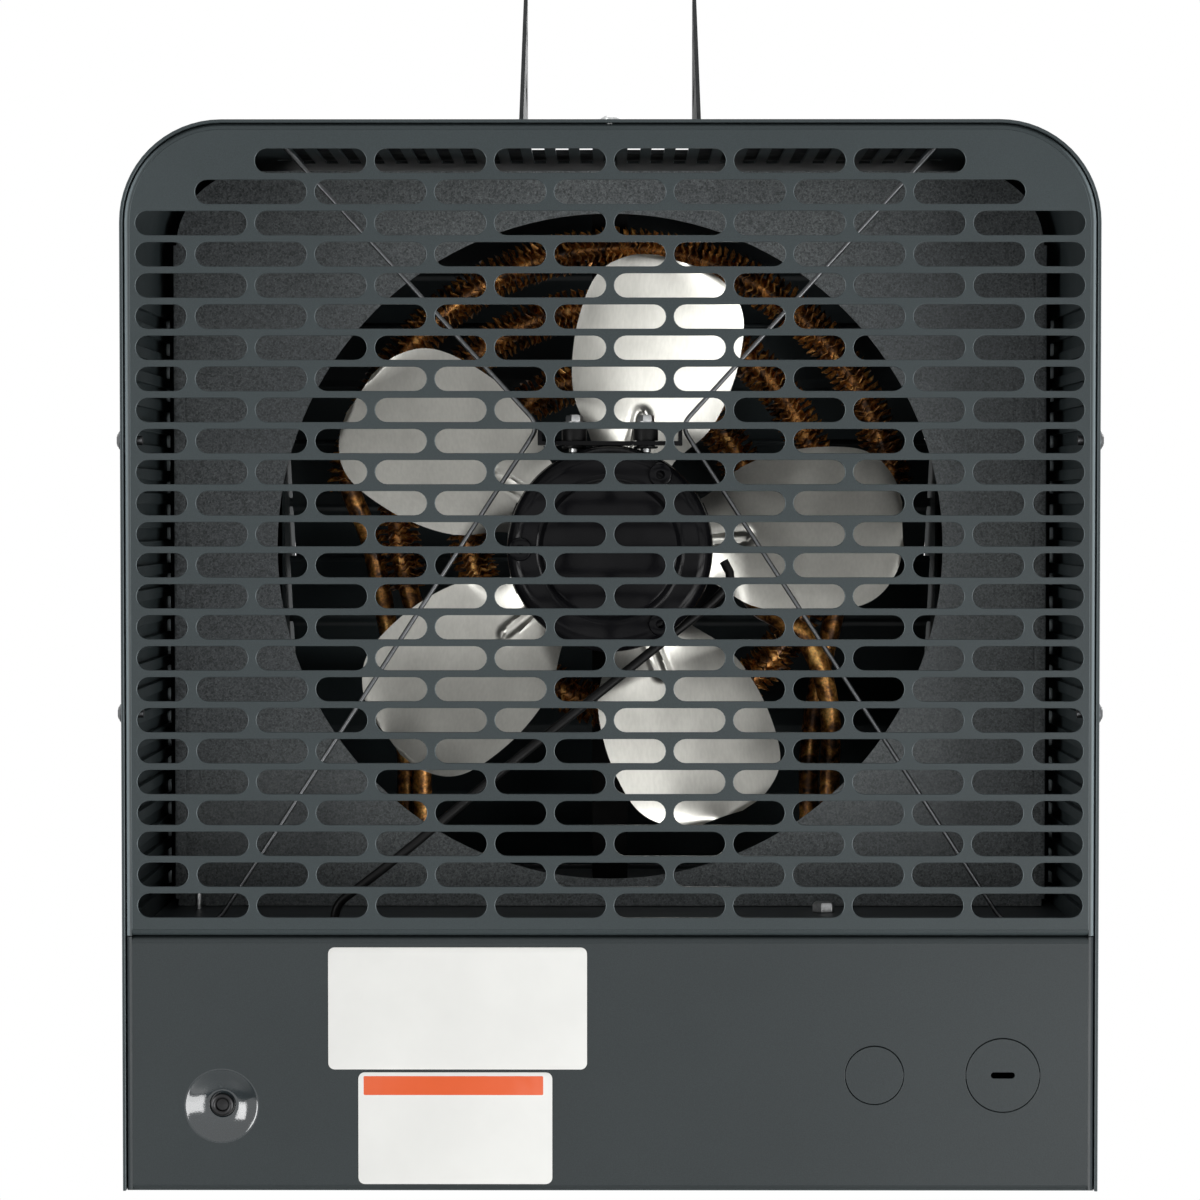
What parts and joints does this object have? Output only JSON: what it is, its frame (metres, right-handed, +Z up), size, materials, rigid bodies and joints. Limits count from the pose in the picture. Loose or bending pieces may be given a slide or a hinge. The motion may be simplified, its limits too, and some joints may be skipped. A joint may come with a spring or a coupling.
{
  "type": "ceiling mounted fan heater",
  "caption": "Sheet metal electric fan heater that hangs from two bracket ears, with a slotted intake grille, an axial fan, finned heating elements and turning outlet louvres.",
  "frame": {"origin": "middle of the hanging pivot, on the line through the pivot holes of the two bracket ears, halfway between them", "axes": "+Z up, +Y the way the air leaves, so the intake grille faces -Y and the outlet louvres face +Y, +X to the right seen from the intake side"},
  "size_m": [0.3708, 0.271, 0.466],
  "materials": {
    "slate_paint": "satin slate grey powder coat",
    "dark_paint": "satin dark grey powder coat",
    "galvanised": "speckled galvanised sheet",
    "aluminium": "satin stamped sheet",
    "zinc": "bright zinc plate",
    "black_enamel": "gloss black enamel",
    "lamination": "oiled laminations",
    "copper": "brazed copper finish, browned by heat",
    "shaft_steel": "ground steel",
    "bronze": "sintered bronze",
    "rubber": "black rubber",
    "black_plastic": "moulded black plastic",
    "phenolic": "moulded phenolic",
    "red_lens": "translucent red lens",
    "label": "blank matt film"
  },
  "bodies": {
    "cabinet": {"cabinet_wrap": "slate_paint", "base_pan": "slate_paint", "rear_grille": "slate_paint", "rear_cover": "dark_paint", "blank_label_upper": "label", "blank_label_lower": "label", "cover_screw": "zinc", "grille_screw_left_upper": "zinc", "grille_screw_left_lower": "zinc", "grille_screw_right_upper": "zinc", "grille_screw_right_lower": "zinc", "grille_screw_top": "zinc", "compartment_shelf": "dark_paint", "orifice_panel": "galvanised", "duct_liner": "galvanised", "limit_thermostat": "phenolic", "motor_shell": "black_enamel", "motor_end_cap": "black_enamel", "stator_core": "lamination", "winding_rear": "copper", "winding_front": "copper", "bearing_rear": "bronze", "bearing_front": "bronze", "motor_saddle": "black_enamel", "motor_stud_left": "zinc", "motor_stud_right": "zinc", "motor_grommet_left": "rubber", "motor_grommet_right": "rubber", "motor_rod_left": "zinc", "motor_rod_right": "zinc", "motor_lead": "rubber", "lead_grommet": "rubber", "element_outer": "copper", "element_loop": "copper", "element_support": "black_enamel", "front_frame": "slate_paint", "control_panel": "slate_paint", "thermostat_body": "phenolic", "pilot_lamp": "red_lens", "terminal_block": "phenolic", "control_relay": "black_plastic", "mounting_bracket": "dark_paint", "bracket_bolt_1": "zinc", "bracket_bolt_2": "zinc", "bracket_bolt_3": "zinc", "bracket_bolt_4": "zinc"},
    "fan": {"rotor_core": "lamination", "motor_shaft": "shaft_steel", "fan_hub": "zinc", "fan_blades": "aluminium"},
    "louvre_1": {"louvre_1": "slate_paint"},
    "louvre_2": {"louvre_2": "slate_paint"},
    "louvre_3": {"louvre_3": "slate_paint"},
    "louvre_4": {"louvre_4": "slate_paint"},
    "louvre_5": {"louvre_5": "slate_paint"},
    "knob": {"thermostat_knob": "black_plastic", "thermostat_shaft": "shaft_steel"}
  },
  "joints": [
    {"name": "fan_spin", "type": "hinge", "parent": "cabinet", "child": "fan", "pos_m": [0, -0.018, -0.208], "axis": [0, 1, 0], "continuous": true},
    {"name": "louvre_1_tilt", "type": "hinge", "parent": "cabinet", "child": "louvre_1", "pos_m": [0, 0.102, -0.2915], "axis": [1, 0, 0], "range_deg": [-12, 92]},
    {"name": "louvre_2_tilt", "type": "hinge", "parent": "cabinet", "child": "louvre_2", "pos_m": [0, 0.102, -0.2405], "axis": [1, 0, 0], "range_deg": [-12, 92]},
    {"name": "louvre_3_tilt", "type": "hinge", "parent": "cabinet", "child": "louvre_3", "pos_m": [0, 0.102, -0.1895], "axis": [1, 0, 0], "range_deg": [-12, 92]},
    {"name": "louvre_4_tilt", "type": "hinge", "parent": "cabinet", "child": "louvre_4", "pos_m": [0, 0.102, -0.1385], "axis": [1, 0, 0], "range_deg": [-12, 92]},
    {"name": "louvre_5_tilt", "type": "hinge", "parent": "cabinet", "child": "louvre_5", "pos_m": [0, 0.102, -0.0875], "axis": [1, 0, 0], "range_deg": [-12, 92]},
    {"name": "thermostat_turn", "type": "hinge", "parent": "cabinet", "child": "knob", "pos_m": [0.104, 0.134, -0.398], "axis": [0, -1, 0], "range_deg": [0, 270]}
  ]
}
